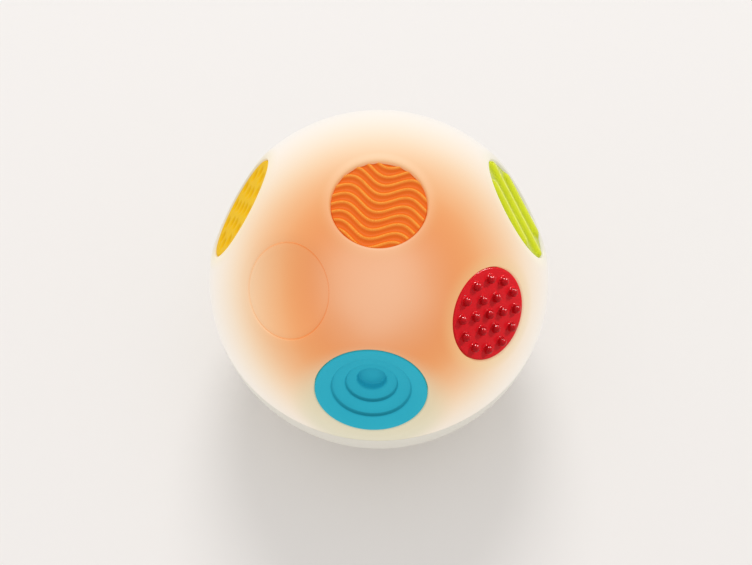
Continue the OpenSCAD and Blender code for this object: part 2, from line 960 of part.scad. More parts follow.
module power_switch() {
    tongue_room = tongue_w + slider_travel + 2 * slider_fit;
    tongue_gap = tongue_d + 2 * slider_fit;
    color(black)
        difference() {
            translate([-slide_w / 2 + slider_travel / 2, slide_y - slide_d / 2, floor_t])
                cube([slide_w, slide_d, slide_h]);
            translate([-tongue_w / 2 - slider_fit, slide_y - tongue_gap / 2, 0])
                cube([tongue_room, tongue_gap, floor_t + tongue_h + slider_fit]);
        }
}

module power_slider() {
    color(orange) {
        translate([-slider_w / 2, slide_y - slider_d / 2, slider_sink])
            cube([slider_w, slider_d, floor_t - slider_fit - slider_sink]);
        translate([-tongue_w / 2, slide_y - tongue_d / 2, slider_sink])
            cube([tongue_w, tongue_d, floor_t + tongue_h - slider_sink]);
    }
}

module button_lead() {
    color(black)
        swept_tube(smooth_path(button_lead_route, lead_step), lead_r, lead_sides);
}

module switch_lead() {
    color(black)
        swept_tube(smooth_path(switch_lead_route, lead_step), lead_r, lead_sides);
}

upper_shell();
lower_shell();
wave_disc();
nub_disc();
step_bowl();
rib_disc();
dimple_disc();
light_button();
button_frame();
button_spring();
button_board();
button_switch();
switch_plunger();
button_screws();
disc_retainers();
shell_screws();
battery_box();
battery_door();
door_seal();
door_screws();
door_contacts();
cell_contacts();
button_cells();
main_board();
controller_chip();
light_leds();
light_diffuser();
motion_can();
motion_header();
motion_ball();
board_screws();
box_screws();
power_switch();
power_slider();
button_lead();
switch_lead();
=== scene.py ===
import math
import bmesh
import bpy
from mathutils import Matrix, Vector
from mathutils.geometry import delaunay_2d_cdt


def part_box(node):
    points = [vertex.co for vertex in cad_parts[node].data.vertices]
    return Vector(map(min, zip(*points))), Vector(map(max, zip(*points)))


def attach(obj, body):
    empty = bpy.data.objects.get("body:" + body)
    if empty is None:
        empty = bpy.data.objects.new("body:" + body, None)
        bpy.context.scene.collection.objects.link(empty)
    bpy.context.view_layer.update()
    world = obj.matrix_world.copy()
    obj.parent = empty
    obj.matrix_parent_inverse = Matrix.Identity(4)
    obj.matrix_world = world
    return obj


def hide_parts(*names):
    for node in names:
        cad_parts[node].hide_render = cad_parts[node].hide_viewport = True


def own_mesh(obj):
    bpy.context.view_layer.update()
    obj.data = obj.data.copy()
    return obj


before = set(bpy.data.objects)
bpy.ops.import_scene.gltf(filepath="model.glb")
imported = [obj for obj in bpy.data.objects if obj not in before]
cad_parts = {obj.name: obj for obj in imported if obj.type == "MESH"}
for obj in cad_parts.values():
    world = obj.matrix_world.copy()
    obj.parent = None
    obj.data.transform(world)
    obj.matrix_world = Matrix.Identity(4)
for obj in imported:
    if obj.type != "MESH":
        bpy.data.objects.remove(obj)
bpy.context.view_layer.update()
print("frame loaded,", len(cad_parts), "nodes")

# sizes in millimetres, the same as the part's
mm = 0.001
mmScale = Matrix.Scale(mm, 4)
tiny = 1e-6  # anything shorter counts as nothing
ball = {"radius": 60.0, "wall": 2.4, "seamDrop": 4.0, "seamGap": 0.3, "lugDrop": 3.0}
seats = {"small": 16.0, "large": 19.0, "bezel": 2.6, "depth": 3.3, "fit": 0.2, "floor": 1.6, "sink": 0.3}
stud = {"radius": 2.5, "fit": 0.15, "past": 1.6}  # behind a disc, through its seat's floor and past it
studTip = -seats["depth"] - seats["floor"] - stud["past"]
places = {  # compass angle from the front to the right, elevation
    "wave": (0, 90), "nub": (52, 35), "bowl": (-3, 22),
    "rib": (108, 26), "dimple": (-109, 24.5), "button": (-51, 47),
}


def discRadius(key):
    return seats["small"] if key in ("wave", "nub", "button") else seats["large"]


def facetHeight(key):  # from the ball's centre to the flat that carries a disc
    return math.sqrt(ball["radius"] ** 2 - (discRadius(key) + seats["bezel"]) ** 2)


ballZ = float(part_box("upper_shell")[1][2]) / mm - facetHeight("wave")  # the orange disc's flat is the top
seamZ = ballZ - ball["seamDrop"]


def onBall(key, height=None):  # local z = 0 is the flat that carries the disc
    around, up = places[key]
    lift = facetHeight(key) if height is None else height
    turn = Matrix.Rotation(math.radians(around), 4, "Z") @ Matrix.Rotation(math.radians(90 - up), 4, "X")
    return Matrix.Translation((0, 0, ballZ)) @ turn @ Matrix.Translation((0, 0, lift))


def polar(radius, turn, z):  # turn in degrees
    return (radius * math.cos(math.radians(turn)), radius * math.sin(math.radians(turn)), z)


def spun(x, y, z, turn):  # a point turned about the axis
    a = math.radians(turn)
    return (x * math.cos(a) - y * math.sin(a), x * math.sin(a) + y * math.cos(a), z)


def intoScene(name, data):
    made = bpy.data.objects.new(name, data)
    bpy.context.scene.collection.objects.link(made)
    return made


# camera first, at the photograph's angle
view = {"elevation": 64.2, "distance": 0.72, "lens": 97.0, "sensor": 36.0, "near": 0.01,
        "shift": (-0.0040, -0.0043)}
tilt = math.radians(view["elevation"])
eye = intoScene("camera", bpy.data.cameras.new("camera"))
eye.location = (0, -view["distance"] * math.cos(tilt), ballZ * mm + view["distance"] * math.sin(tilt))
eye.rotation_euler = (math.pi / 2 - tilt, 0, 0)
eye.data.lens = view["lens"]
eye.data.sensor_width = view["sensor"]
eye.data.shift_x, eye.data.shift_y = view["shift"]
eye.data.clip_start = view["near"]
bpy.context.scene.camera = eye
print("camera set")

# materials
colourA, colourB, colourOut = 6, 7, 2  # sockets of a Mix node that mixes colours


def hexColour(text):  # sRGB to linear
    parts = [int(text[i:i + 2], 16) / 255 for i in (0, 2, 4)]
    return tuple(p / 12.92 if p <= 0.04045 else ((p + 0.055) / 1.055) ** 2.4 for p in parts) + (1.0,)


def addNode(tree, kind, feeds=None, **settings):
    made = tree.nodes.new(kind)
    for key, value in settings.items():
        setattr(made, key, value)
    for key, value in (feeds or {}).items():
        if isinstance(value, bpy.types.NodeSocket):
            tree.links.new(value, made.inputs[key])
        else:
            made.inputs[key].default_value = value
    return made


def newMaterial(name):
    made = bpy.data.materials.new(name)
    made.use_nodes = True
    tree = made.node_tree
    tree.nodes.clear()
    shader = addNode(tree, "ShaderNodeBsdfPrincipled")
    addNode(tree, "ShaderNodeOutputMaterial", {"Surface": shader.outputs["BSDF"]})
    return made, tree, shader


# grain and depth are in mm; a real mould's grain, like plating's, is under 0.1 mm and too fine to show here,
# so it is drawn at 0.3 to 0.8 mm
moulded = {"drift": 14.0, "driftDetail": 2.0, "grainDetail": 3.0, "bump": 0.35}


def addGrain(tree, shader, where, rough, swing, grain, depth, bump):  # breaks the gloss and the surface
    fine = addNode(tree, "ShaderNodeTexNoise", {
        "Vector": where, "Scale": 1 / (grain * mm), "Detail": moulded["grainDetail"]})
    span = addNode(tree, "ShaderNodeMapRange", {
        "Value": fine.outputs[0], "To Min": rough - swing, "To Max": rough + swing})
    relief = addNode(tree, "ShaderNodeBump", {
        "Strength": bump, "Distance": depth * mm, "Height": fine.outputs[0]})
    tree.links.new(span.outputs[0], shader.inputs["Roughness"])
    tree.links.new(relief.outputs[0], shader.inputs["Normal"])


# the colour drifts a little over the piece, from base to shade
def mouldedFinish(name, base, shade, rough, swing, grain, depth, crest=None, gloss=0.5, **plain):
    made, tree, shader = newMaterial(name)
    where = addNode(tree, "ShaderNodeTexCoord").outputs["Object"]
    drift = addNode(tree, "ShaderNodeTexNoise", {
        "Vector": where, "Scale": 1 / (moulded["drift"] * mm), "Detail": moulded["driftDetail"]})
    tone = addNode(tree, "ShaderNodeMix", {
        0: drift.outputs[0], colourA: hexColour(base), colourB: hexColour(shade)}, data_type="RGBA")
    colour = tone.outputs[colourOut]
    # painted highlight or painted shade: the crest attribute marks what of a texture is painted paler or
    # deeper
    if crest:  # the part of a texture that looks paler or deeper than the rest
        height = addNode(tree, "ShaderNodeAttribute", attribute_name="crest")
        top = addNode(tree, "ShaderNodeMix", {
            0: height.outputs["Fac"], colourA: colour, colourB: hexColour(crest)}, data_type="RGBA")
        colour = top.outputs[colourOut]
    tree.links.new(colour, shader.inputs["Base Color"])
    addGrain(tree, shader, where, rough, swing, grain, depth, moulded["bump"])
    shader.inputs["Specular IOR Level"].default_value = gloss
    for key, value in plain.items():
        shader.inputs[key].default_value = value
    return made


finishes = {
    # rubber from a matt mould: soft, with no highlights from the lamps, and a painted highlight: ridge tops
    # painted paler than the grooves
    "orangeRubber": {"base": "EE7214", "shade": "E66810", "crest": "FFA43E", "rough": 0.5, "swing": 0.06,
                     "gloss": 0.2, "grain": 0.5, "depth": 0.02},
    # rubber from a polished mould: small glints, and a painted shade: the nubs' upper parts painted a deeper
    # red
    "redRubber": {"base": "C8171F", "shade": "C0131B", "crest": "AA0C14", "rough": 0.2, "swing": 0.03,
                  "gloss": 0.1, "grain": 0.6, "depth": 0.01},
    # rubber from a matt mould: an even, chalky face, with painted shade at the foot of the lower step walls
    "blueRubber": {"base": "32C0D8", "shade": "2DB8D1", "crest": "1E8FA2", "rough": 0.62, "swing": 0.06,
                   "gloss": 0.15, "grain": 0.4, "depth": 0.02},
    # rubber from a polished mould: smooth, with glints along its edge, and rib tops painted paler as a
    # painted highlight
    "limeRubber": {"base": "C6D117", "shade": "BCC811", "crest": "E0E632", "rough": 0.2, "swing": 0.04,
                   "gloss": 0.07, "grain": 0.6, "depth": 0.01},
    # rubber from a matt mould: dull, with painted shade: a deeper yellow painted down in the dimples
    "yellowRubber": {"base": "F5C614", "shade": "EDB80E", "crest": "E8A60A", "rough": 0.6, "swing": 0.06,
                     "gloss": 0.04, "grain": 0.5, "depth": 0.02},
    # polypropylene, injection moulded: a satin, slightly warm white
    "whitePolypropylene": {"base": "F3EFE4", "shade": "ECE8DB", "rough": 0.38, "swing": 0.06,
                           "grain": 0.5, "depth": 0.01},
    # ABS, injection moulded: a duller and greyer white, for what is inside
    "whiteAbs": {"base": "ECEAE4", "shade": "E2DFD8", "rough": 0.45, "swing": 0.06,
                 "grain": 0.6, "depth": 0.01},
    # steel, cold headed and zinc plated: half bright, with a blue cast
    "zincPlatedSteel": {"base": "C3C6CC", "shade": "B4B8C0", "rough": 0.3, "swing": 0.08,
                        "grain": 0.4, "depth": 0.01, "Metallic": 1.0},
    # spring steel, drawn or stamped: darker than the screws, with slightly sharper reflections
    "springSteel": {"base": "B9BCC2", "shade": "A9ADB5", "rough": 0.25, "swing": 0.06,
                    "grain": 0.3, "depth": 0.01, "Metallic": 1.0},
    # nickel plate on pressed steel: bright and warm
    "nickelPlate": {"base": "CFCBBE", "shade": "C2BDAE", "rough": 0.22, "swing": 0.06,
                    "grain": 0.4, "depth": 0.01, "Metallic": 1.0},
    # solder mask, a lacquer cured on glass fibre board: smooth dark green
    "solderMask": {"base": "1B6B3A", "shade": "155A30", "rough": 0.35, "swing": 0.06,
                   "grain": 0.5, "depth": 0.01},
    # nylon, injection moulded: a dull black
    "blackNylon": {"base": "1C1C1E", "shade": "141416", "rough": 0.5, "swing": 0.08,
                   "grain": 0.5, "depth": 0.01},
    # silicone rubber, moulded or extruded: soft black with hardly a highlight
    "blackSiliconeRubber": {"base": "202022", "shade": "18181A", "rough": 0.6, "swing": 0.06,
                            "grain": 0.4, "depth": 0.01},
    # ABS, injection moulded in colour: a satin orange
    "orangeAbs": {"base": "E36F22", "shade": "D9641C", "rough": 0.35, "swing": 0.06,
                  "grain": 0.5, "depth": 0.01},
    # opal polycarbonate, injection moulded: milky, with a painted glow all over, given as emission, for the
    # lamps under it
    "opalPolycarbonate": {"base": "F6D7B0", "shade": "F0CDA2", "rough": 0.5, "swing": 0.05, "grain": 0.8,
                          "depth": 0.01, "Emission Color": hexColour("FFA25E"), "Emission Strength": 1.0},
    # epoxy, cast clear over each lamp: a glassy dome full of light
    "clearEpoxy": {"base": "F6DDB8", "shade": "F0D2A6", "rough": 0.15, "swing": 0.04, "grain": 0.8,
                   "depth": 0.005, "Emission Color": hexColour("FFC48A"), "Emission Strength": 1.5},
}
finish = {name: mouldedFinish(name, **values) for name, values in finishes.items()}

# milky polypropylene, injection moulded: a painted glow, given as base colour and emission, stands in for
# light from inside coming through the wall: warm where the lamp's beam meets it and white away from the beam
shell = {
    "aim": 61.5,  # elevation of the lamp's beam, towards the front
    # painted glow: each row gives the wall's painted colour and the share of it painted as emission
    "glow": [  # cosine of the angle from the beam, colour of the wall there, share of it that shines
        (-0.25, "F2EEE6", 0.36), (0.0, "F4EFE8", 0.42), (0.20, "F7F0E7", 0.50), (0.37, "F7ECDE", 0.56),
        (0.527, "F5E2CA", 0.60), (0.66, "F3CFA6", 0.62), (0.80, "EFA96C", 0.62), (0.893, "EB9352", 0.62),
        (0.954, "EC9F69", 0.61), (1.0, "F3BA92", 0.62)],
    # painted light and painted shade round each disc: a yellower painted glow beside most discs, a darker
    # greenish painted shade below the blue bowl
    "paintedHalo": {  # tint of the wall beside a disc, how far it reaches and how strong it is
        "wave": ("DDB27A", 6.0, 0.22), "nub": ("F0D496", 6.0, 0.3), "bowl": ("D6D4B4", 11.0, 0.65),
        "rib": ("EFEBC4", 6.0, 0.3), "dimple": ("F0DCA0", 6.0, 0.4)},
    "paintedHaloDrop": {"bowl": 8.0},  # how far below its disc a tint is centred
    "cloud": 22.0, "cloudDetail": 1.0, "uneven": 0.012,  # a wall a little uneven shifts the glow
    "wallShare": 0.42,  # the rest of the outside light goes through
    "rough": 0.42, "swing": 0.05, "grain": 0.7, "depth": 0.01, "bump": 0.3, "ior": 1.49,
}


# painted glow: the wall's colour and emission are painted by the angle from the lamp's beam, not lit by a
# lamp
def paintedBeamGlow(tree, where):  # colour of the wall and the share that shines, by the angle from the beam
    aim = math.radians(shell["aim"])
    beam = (0, -math.cos(aim), math.sin(aim))
    fromLamp = addNode(tree, "ShaderNodeVectorMath", {0: where, 1: (0, 0, ballZ * mm)}, operation="SUBTRACT")
    ray = addNode(tree, "ShaderNodeVectorMath", {0: fromLamp.outputs[0]}, operation="NORMALIZE")
    lean = addNode(tree, "ShaderNodeVectorMath", {0: ray.outputs[0], 1: beam}, operation="DOT_PRODUCT")
    cloud = addNode(tree, "ShaderNodeTexNoise", {
        "Vector": where, "Scale": 1 / (shell["cloud"] * mm), "Detail": shell["cloudDetail"]})
    uneven = addNode(tree, "ShaderNodeMapRange", {
        "Value": cloud.outputs[0], "To Min": -shell["uneven"], "To Max": shell["uneven"]})
    spread = addNode(tree, "ShaderNodeMath", {
        0: lean.outputs["Value"], 1: uneven.outputs[0]}, operation="ADD")
    low = shell["glow"][0][0]
    along = addNode(tree, "ShaderNodeMapRange", {
        "Value": spread.outputs[0], "From Min": low, "From Max": 1.0})
    tint = addNode(tree, "ShaderNodeValToRGB", {0: along.outputs[0]})
    shine = addNode(tree, "ShaderNodeValToRGB", {0: along.outputs[0]})
    for ramp in (tint.color_ramp, shine.color_ramp):
        ramp.interpolation = "B_SPLINE"
        while len(ramp.elements) < len(shell["glow"]):
            ramp.elements.new(1.0)
    stops = zip(tint.color_ramp.elements, shine.color_ramp.elements, shell["glow"])
    for tintStop, shineStop, (cosine, colour, share) in stops:
        tintStop.position = shineStop.position = (cosine - low) / (1 - low)
        tintStop.color = hexColour(colour)
        shineStop.color = (share, share, share, 1)
    return tint.outputs[0], shine.outputs[0]


# painted light and painted shade round each disc, mixed into the wall's colour by distance from the disc
def paintedHaloTint(tree, where, colour):  # light that comes out round a disc is yellower
    for key, (beside, reach, strength) in shell["paintedHalo"].items():
        drop = Vector((0, 0, shell["paintedHaloDrop"].get(key, 0.0)))
        centre = mmScale @ (onBall(key).translation - drop)
        edge = discRadius(key) * mm
        away = addNode(tree, "ShaderNodeVectorMath", {0: where, 1: centre}, operation="DISTANCE")
        near = addNode(tree, "ShaderNodeMapRange", {
            "Value": away.outputs["Value"], "From Min": edge, "From Max": edge + reach * mm,
            "To Min": strength, "To Max": 0.0}, interpolation_type="SMOOTHSTEP")
        mixed = addNode(tree, "ShaderNodeMix", {
            0: near.outputs[0], colourA: colour, colourB: hexColour(beside)}, data_type="RGBA")
        colour = mixed.outputs[colourOut]
    return colour


# painted glow from the beam, with painted light and painted shade round the discs, on a milky plastic
def paintedGlowPlastic(name):
    made, tree, shader = newMaterial(name)
    where = addNode(tree, "ShaderNodeTexCoord").outputs["Object"]
    tint, shine = paintedBeamGlow(tree, where)
    colour = paintedHaloTint(tree, where, tint)
    kept = (shell["wallShare"],) * 3 + (1,)
    for light, socket in ((kept, "Base Color"), (shine, "Emission Color")):
        part = addNode(tree, "ShaderNodeMix", {0: 1.0, colourA: colour, colourB: light},
                       data_type="RGBA", blend_type="MULTIPLY")
        tree.links.new(part.outputs[colourOut], shader.inputs[socket])
    shader.inputs["Emission Strength"].default_value = 1.0
    shader.inputs["IOR"].default_value = shell["ior"]
    addGrain(tree, shader, where, shell["rough"], shell["swing"], shell["grain"], shell["depth"],
             shell["bump"])
    return made


finish["milkyPolypropylene"] = paintedGlowPlastic("milkyPolypropylene")

finishNodes = {
    "milkyPolypropylene": ["upper_shell", "light_button"],
    "whitePolypropylene": ["lower_shell", "battery_door"],
    "orangeRubber": ["wave_disc"],
    "redRubber": ["nub_disc"],
    "blueRubber": ["step_bowl"],
    "limeRubber": ["rib_disc"],
    "yellowRubber": ["dimple_disc"],
    "whiteAbs": ["button_frame", "battery_box", "switch_plunger"],
    "springSteel": ["button_spring", "disc_retainers", "motion_ball"],
    "zincPlatedSteel": ["button_screws", "shell_screws", "door_screws", "board_screws", "box_screws"],
    "nickelPlate": ["door_contacts", "cell_contacts", "motion_can", "button_cells"],
    "solderMask": ["main_board", "button_board"],
    "blackNylon": ["controller_chip", "button_switch", "power_switch", "motion_header"],
    "blackSiliconeRubber": ["door_seal", "button_lead", "switch_lead"],
    "clearEpoxy": ["light_leds"],
    "opalPolycarbonate": ["light_diffuser"],
    "orangeAbs": ["power_slider"],
}
for name, nodes in finishNodes.items():
    for node in nodes:
        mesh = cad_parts[node].data
        mesh.materials.clear()
        mesh.materials.append(finish[name])
print("materials set,", len(finish), "finishes")


# shapes in a disc's own frame, millimetres
def eased(points, radius, steps=4):  # a profile's corners rounded by short curves
    most = 0.45  # share of a side that one corner may take
    out = [Vector(points[0])]
    for a, b, c in zip(points, points[1:], points[2:]):
        corner, back, on = Vector(b), Vector(a) - Vector(b), Vector(c) - Vector(b)
        cut = min(radius, back.length * most, on.length * most)
        start, stop = corner + back.normalized() * cut, corner + on.normalized() * cut
        for k in range(steps + 1):
            t = k / steps
            out.append(start * (1 - t) ** 2 + corner * 2 * t * (1 - t) + stop * t * t)
    return out + [Vector(points[-1])]


def turnedShape(profile, steps=144):  # a profile of radius and height spun about the axis
    shape = bmesh.new()
    rings = []
    for r, z in profile:
        turns = [360 * k / steps for k in range(steps)] if r > tiny else [0]
        rings.append([shape.verts.new(polar(r, turn, z)) for turn in turns])
    for low, high in zip(rings, rings[1:]):
        for k in range(steps):
            n = k + 1
            corners = [low[k % len(low)], low[n % len(low)], high[n % len(high)], high[k % len(high)]]
            corners = list(dict.fromkeys(corners))
            if len(corners) > 2:
                shape.faces.new(corners)
    bmesh.ops.recalc_face_normals(shape, faces=shape.faces)
    return shape


def joinRings(shape, outer, inner):
    for k in range(len(outer)):
        n = (k + 1) % len(outer)
        shape.faces.new((outer[k], inner[k], inner[n], outer[n]))


def squareToRound(u, v):  # a point of a square, as radius and angle on a disc
    if abs(u) > abs(v):
        return u, math.pi / 4 * v / u
    return (v, math.pi / 2 - math.pi / 4 * u / v) if v else (0, 0)


def faceShape(radius, face, edge, depth, count):  # a disc whose face is an even grid, for a texture to raise
    edgeTurns = (0.4, 0.8, 1.2, math.pi / 2)  # radians round the face's soft edge
    shape = bmesh.new()
    share = shape.verts.layers.float.new("faceShare")
    inner = radius - edge
    grid = []
    for i in range(count + 1):
        row = []
        for j in range(count + 1):
            r, a = squareToRound(2 * i / count - 1, 2 * j / count - 1)
            vert = shape.verts.new((inner * r * math.cos(a), inner * r * math.sin(a), face))
            vert[share] = 1.0
            row.append(vert)
        grid.append(row)
    for i in range(count):
        for j in range(count):
            shape.faces.new((grid[i][j], grid[i + 1][j], grid[i + 1][j + 1], grid[i][j + 1]))
    there, back = range(count), range(count, 0, -1)
    loop = [grid[i][0] for i in there] + [grid[count][j] for j in there]
    loop += [grid[i][count] for i in back] + [grid[0][j] for j in back]
    rims = [(inner + edge * math.sin(a), face - edge * (1 - math.cos(a)), math.cos(a)) for a in edgeTurns]
    rims += [(radius, -depth, 0.0), (stud["radius"], -depth, 0.0), (stud["radius"], studTip, 0.0)]
    for r, z, weight in rims:
        ring = []
        for vert in loop:
            flat = vert.co.xy.normalized() * r
            made = shape.verts.new((flat.x, flat.y, z))
            made[share] = weight
            ring.append(made)
        joinRings(shape, loop, ring)
        loop = ring
    shape.faces.new(list(reversed(loop)))
    bmesh.ops.recalc_face_normals(shape, faces=shape.faces)
    return shape


def newObject(name, shape, material):
    mesh = bpy.data.meshes.new(name)
    shape.to_mesh(mesh)
    shape.free()
    mesh.materials.append(material)
    return intoScene(name, mesh)


def pattern(name, points, edges=(), turns=None):  # points, and lines between them, for a node tree to follow
    mesh = bpy.data.meshes.new(name)
    mesh.from_pydata([tuple(p) for p in points], list(edges), [])
    if turns:
        layer = mesh.attributes.new("turn", "FLOAT_VECTOR", "POINT")
        for item, value in zip(layer.data, turns):
            item.vector = value
    return intoScene(name, mesh)


def chain(count):  # edges that join points one after another
    return [(k, k + 1) for k in range(count - 1)]


def ringPoints(pitch, turn, z):  # one in the middle, six and twelve round it
    spots = [(0.0, 0.0, z)]
    for ring, count in ((1, 6), (2, 12)):
        spots += [polar(ring * pitch, turn + 360 * k / count, z) for k in range(count)]
    return spots


# the crest attribute: how much painted shade each point takes
def paintedShadeValues(obj, valueAt):  # how much of its finish's crest colour each point takes
    layer = obj.data.attributes.new("crest", "FLOAT", "POINT")
    for vert, item in zip(obj.data.vertices, layer.data):
        item.value = valueAt(vert.co)


def discard(*objs):
    for obj in objs:
        bpy.data.objects.remove(obj)


# millimetres in a disc's frame to metres in the ball's
def settle(obj, matrix, body, nodes, sharpAngle=35):
    obj.data.transform(mmScale @ matrix)
    obj.data.shade_smooth()
    obj.data.set_sharp_from_angle(angle=math.radians(sharpAngle))
    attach(obj, body)
    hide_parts(*nodes)


def bakeModifiers(obj):
    bpy.context.view_layer.update()
    mesh = bpy.data.meshes.new_from_object(obj.evaluated_get(bpy.context.evaluated_depsgraph_get()))
    obj.modifiers.clear()
    obj.data = mesh


# node trees
def newTree(name, sockets):
    tree = bpy.data.node_groups.new(name, "GeometryNodeTree")
    tree.interface.new_socket("Geometry", in_out="INPUT", socket_type="NodeSocketGeometry")
    for label, kind in sockets.items():
        tree.interface.new_socket(label, in_out="INPUT", socket_type="NodeSocket" + kind)
    tree.interface.new_socket("Geometry", in_out="OUTPUT", socket_type="NodeSocketGeometry")
    return tree, addNode(tree, "NodeGroupInput").outputs


def endTree(tree, geometry, material):
    real = addNode(tree, "GeometryNodeRealizeInstances", {0: geometry})
    dressed = addNode(tree, "GeometryNodeSetMaterial", {0: real.outputs[0], "Material": material})
    addNode(tree, "NodeGroupOutput", {0: dressed.outputs[0]})
    return tree


def growWith(obj, tree, values):  # runs a node tree on the piece and keeps the result as a plain mesh
    made = obj.modifiers.new("grow", "NODES")
    made.node_group = tree
    for item in tree.interface.items_tree:
        if item.in_out == "INPUT" and item.name in values:
            made[item.identifier] = values[item.name]
    bakeModifiers(obj)


def raisedFaceTree():  # face raised or sunk along lines, the height falling off with distance from them
    tree, given = newTree("raisedFace", {
        "Pattern": "Object", "Reach": "Float", "Height": "Float", "Fullness": "Float",
        "Crest Start": "Float", "Crest End": "Float", "Material": "Material"})
    lines = addNode(tree, "GeometryNodeObjectInfo", {"Object": given["Pattern"]})
    near = addNode(tree, "GeometryNodeProximity", {0: lines.outputs["Geometry"]}, target_element="EDGES")
    share = addNode(tree, "GeometryNodeInputNamedAttribute", {"Name": "faceShare"}, data_type="FLOAT")
    away = addNode(tree, "ShaderNodeMath", {0: near.outputs["Distance"], 1: given["Reach"]},
                   operation="DIVIDE", use_clamp=True)
    curve = addNode(tree, "ShaderNodeMath", {0: away.outputs[0], 1: given["Fullness"]}, operation="POWER")
    rise = addNode(tree, "ShaderNodeMapRange", {"Value": curve.outputs[0], "To Min": 1.0, "To Max": 0.0},
                   interpolation_type="SMOOTHSTEP")
    fade = addNode(tree, "ShaderNodeMath", {0: rise.outputs[0], 1: share.outputs[0]}, operation="MULTIPLY")
    lift = addNode(tree, "ShaderNodeMath", {0: fade.outputs[0], 1: given["Height"]}, operation="MULTIPLY")
    shift = addNode(tree, "ShaderNodeCombineXYZ", {"Z": lift.outputs[0]})
    # crest attribute from the rise: a painted highlight along raised lines, a painted shade in sunk ones
    top = addNode(tree, "ShaderNodeMapRange", {
        "Value": fade.outputs[0], "From Min": given["Crest Start"], "From Max": given["Crest End"]})
    kept = addNode(tree, "GeometryNodeStoreNamedAttribute", {  # before the face moves away from the lines
        "Geometry": given["Geometry"], "Name": "crest", "Value": top.outputs[0]},
        data_type="FLOAT", domain="POINT")
    moved = addNode(tree, "GeometryNodeSetPosition", {
        "Geometry": kept.outputs[0], "Offset": shift.outputs[0]})
    return endTree(tree, moved.outputs[0], given["Material"])


def setAtPointsTree():  # one small piece set at every point of a pattern and joined to its plate
    tree, given = newTree("setAtPoints", {"Pattern": "Object", "Piece": "Object", "Material": "Material"})
    spots = addNode(tree, "GeometryNodeObjectInfo", {"Object": given["Pattern"]})
    single = addNode(tree, "GeometryNodeObjectInfo", {"Object": given["Piece"]})
    turn = addNode(tree, "GeometryNodeInputNamedAttribute", {"Name": "turn"}, data_type="FLOAT_VECTOR")
    many = addNode(tree, "GeometryNodeInstanceOnPoints", {
        "Points": spots.outputs["Geometry"], "Instance": single.outputs["Geometry"],
        "Rotation": turn.outputs[0]})
    whole = addNode(tree, "GeometryNodeJoinGeometry")
    tree.links.new(given["Geometry"], whole.inputs[0])
    tree.links.new(many.outputs[0], whole.inputs[0])
    return endTree(tree, whole.outputs[0], given["Material"])


def tubeAlongTree():  # a round tube along a path
    tree, given = newTree("tubeAlong", {"Radius": "Float", "Sides": "Int", "Material": "Material"})
    path = addNode(tree, "GeometryNodeMeshToCurve", {0: given["Geometry"]})
    ring = addNode(tree, "GeometryNodeCurvePrimitiveCircle", {
        "Resolution": given["Sides"], "Radius": given["Radius"]})
    tube = addNode(tree, "GeometryNodeCurveToMesh", {
        "Curve": path.outputs[0], "Profile Curve": ring.outputs["Curve"], "Fill Caps": True})
    return endTree(tree, tube.outputs[0], given["Material"])


raiseTree, setTree, tubeTree = raisedFaceTree(), setAtPointsTree(), tubeAlongTree()
print("node trees built")


def raisedDisc(name, key, lines, face, rise, made):  # a disc with its face raised along lines
    material = finish[made["finish"]]
    shape = faceShape(discRadius(key), face, made["edge"], seats["depth"], made["grid"])
    disc = newObject(name, shape, material)
    growWith(disc, raiseTree, {
        "Pattern": lines, "Reach": made["reach"], "Height": rise, "Fullness": made["fullness"],
        "Crest Start": made["crest"][0], "Crest End": made["crest"][1], "Material": material})
    settle(disc, onBall(key), "ball", [made["node"]], sharpAngle=60)
    discard(lines)
    return disc


# orange disc, wavy ridges, their tops painted paler as a painted highlight
wave = {"pitch": 3.4, "length": 20.0, "swing": 2.2, "turn": -15, "shift": 10.9, "offset": -0.6,  # its lines
        "rows": 6, "half": 20.0, "steps": 90,  # rows either way, half a row's length, its points
        "sunk": 1.3, "rise": 1.1, "reach": 1.7, "fullness": 0.55, "crest": (0.36, 0.72),
        "edge": 0.25, "grid": 150,
        "finish": "orangeRubber", "slot": "orange_rubber", "node": "wave_disc"}
crests, joins = [], []
for row in range(-wave["rows"], wave["rows"] + 1):
    for k in range(wave["steps"] + 1):
        x = wave["half"] * (2 * k / wave["steps"] - 1)
        swell = math.cos(2 * math.pi * (x + wave["shift"]) / wave["length"])
        y = wave["offset"] + row * wave["pitch"] + wave["swing"] * swell
        crests.append(spun(x, y, -wave["sunk"], wave["turn"]))
        if k:
            joins.append((len(crests) - 2, len(crests) - 1))
raisedDisc("waveDisc", "wave", pattern("waveLines", crests, joins), -wave["sunk"], wave["rise"], wave)

# red disc, round nubs, their upper parts painted a deeper red as a painted shade
nub = {"radius": 1.6, "height": 2.3, "pitch": 6.1, "turn": 22, "edge": 0.8, "domeSteps": 8, "sides": 28,
       "root": [(0.0, 0.35), (0.12, 0.12), (0.4, -0.1)],  # steps out and down where a nub runs into the plate
       # painted shade: above this share of its height a nub is painted fully deeper red
       "paintedShadeFrom": 0.45}  # share of its height above which a nub is deep red
nubRed = finish["redRubber"]
nubProfile = []
for k in range(nub["domeSteps"] + 1):
    a = math.pi / 2 * k / nub["domeSteps"]
    nubProfile.append((nub["radius"] * math.sin(a), nub["height"] - nub["radius"] * (1 - math.cos(a))))
nubProfile += [(nub["radius"] + out, z) for out, z in nub["root"]] + [(0, nub["root"][-1][1])]
nubOne = newObject("nubOne", turnedShape(nubProfile, nub["sides"]), nubRed)
nubOne.data.shade_smooth()
